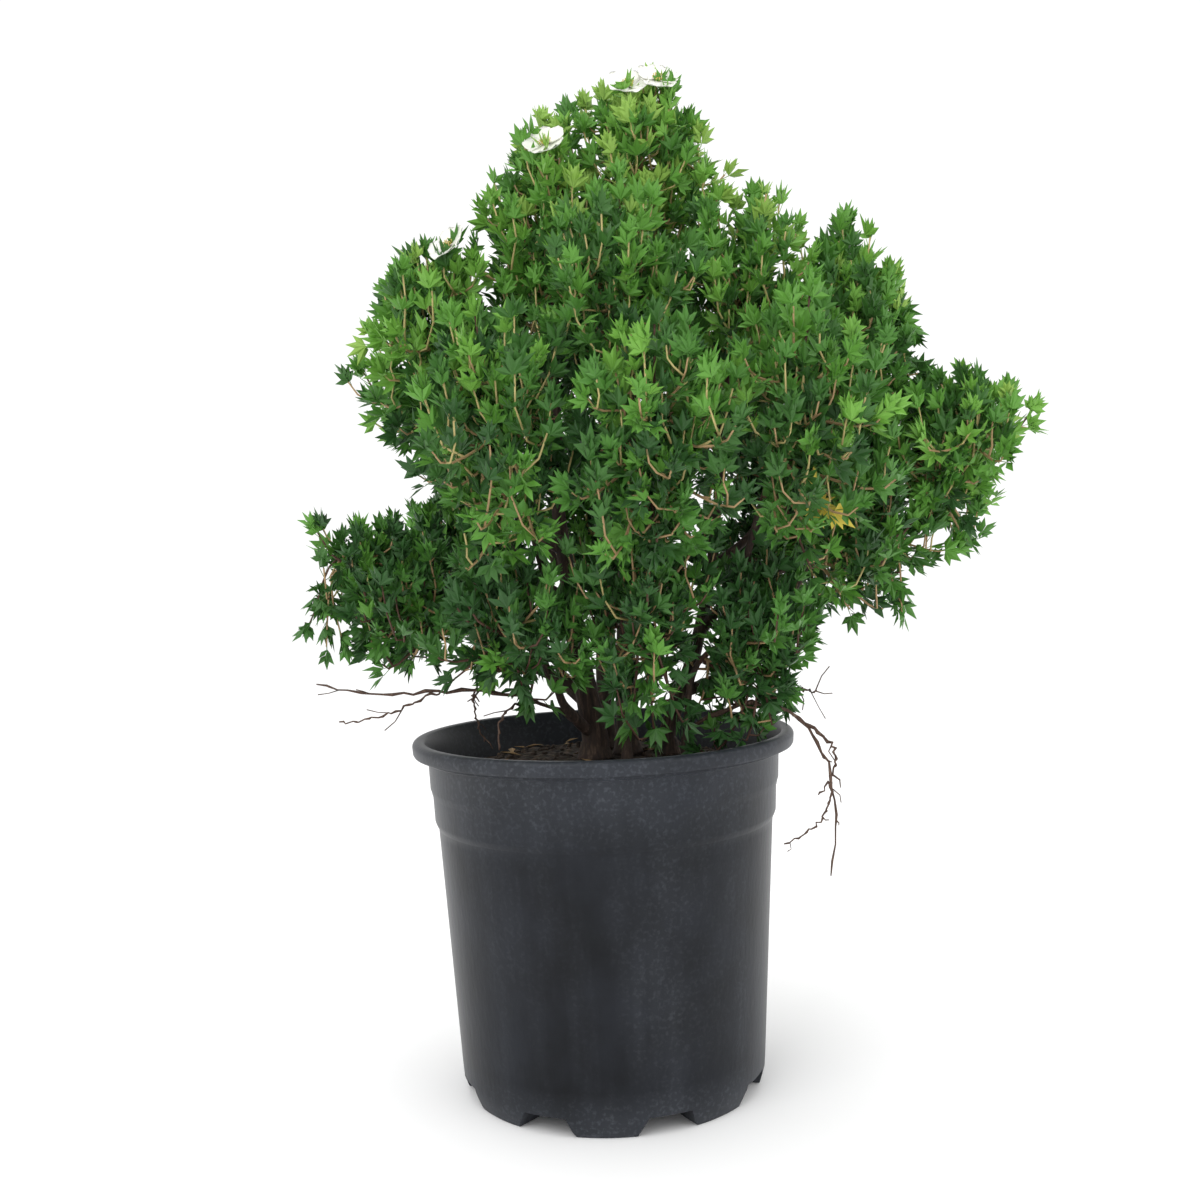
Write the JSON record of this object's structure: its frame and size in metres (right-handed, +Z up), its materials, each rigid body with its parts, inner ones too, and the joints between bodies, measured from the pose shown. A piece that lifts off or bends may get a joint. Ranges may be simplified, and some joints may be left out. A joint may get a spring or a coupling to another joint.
{
  "type": "potted flowering shrub",
  "caption": "Rounded, peaked shrubby cinquefoil in leaf with a few white flowers, in a black plastic nursery pot with a rolled rim and notched foot.",
  "frame": {"origin": "the middle of the pot's flat underside, on the ground", "axes": "+Z up along the pot's axis; the side in the picture faces -Y, with the plant's long low arm towards +X"},
  "size_m": [0.482, 0.3577, 0.6095],
  "materials": {
    "nursery_plastic": "satin",
    "potting_soil": "matte",
    "bark": "matte",
    "leaves": "matte"
  },
  "bodies": {
    "root": {"back_left": "leaves", "back_middle": "leaves", "back_right": "leaves", "bough_back_left": "bark", "bough_back_middle": "bark", "bough_back_right": "bark", "bough_far_right": "bark", "bough_front_left": "bark", "bough_front_middle": "bark", "bough_front_right": "bark", "bough_left_side": "bark", "bough_low_front_left": "bark", "bough_low_left": "bark", "bough_right_shoulder": "bark", "bough_right_side": "bark", "bough_top_front": "bark", "bough_upper_left": "bark", "bough_upper_left_back": "bark", "bough_upper_right_back": "bark", "dead_twigs_left": "bark", "dead_twigs_right": "bark", "far_right": "leaves", "front_left": "leaves", "front_middle": "leaves", "front_right": "leaves", "left_side": "leaves", "low_front_left": "leaves", "low_left": "leaves", "low_middle": "leaves", "low_right": "leaves", "pot": "nursery_plastic", "right_shoulder": "leaves", "right_side": "leaves", "soil": "potting_soil", "stem_back": "bark", "stem_front": "bark", "stem_left": "bark", "stem_low_right": "bark", "stem_middle": "bark", "stem_right": "bark", "top_back": "leaves", "top_front": "leaves", "top_left": "leaves", "top_spire": "leaves", "upper_left": "leaves", "upper_left_back": "leaves", "upper_right": "leaves", "upper_right_back": "leaves"}
  },
  "joints": []
}
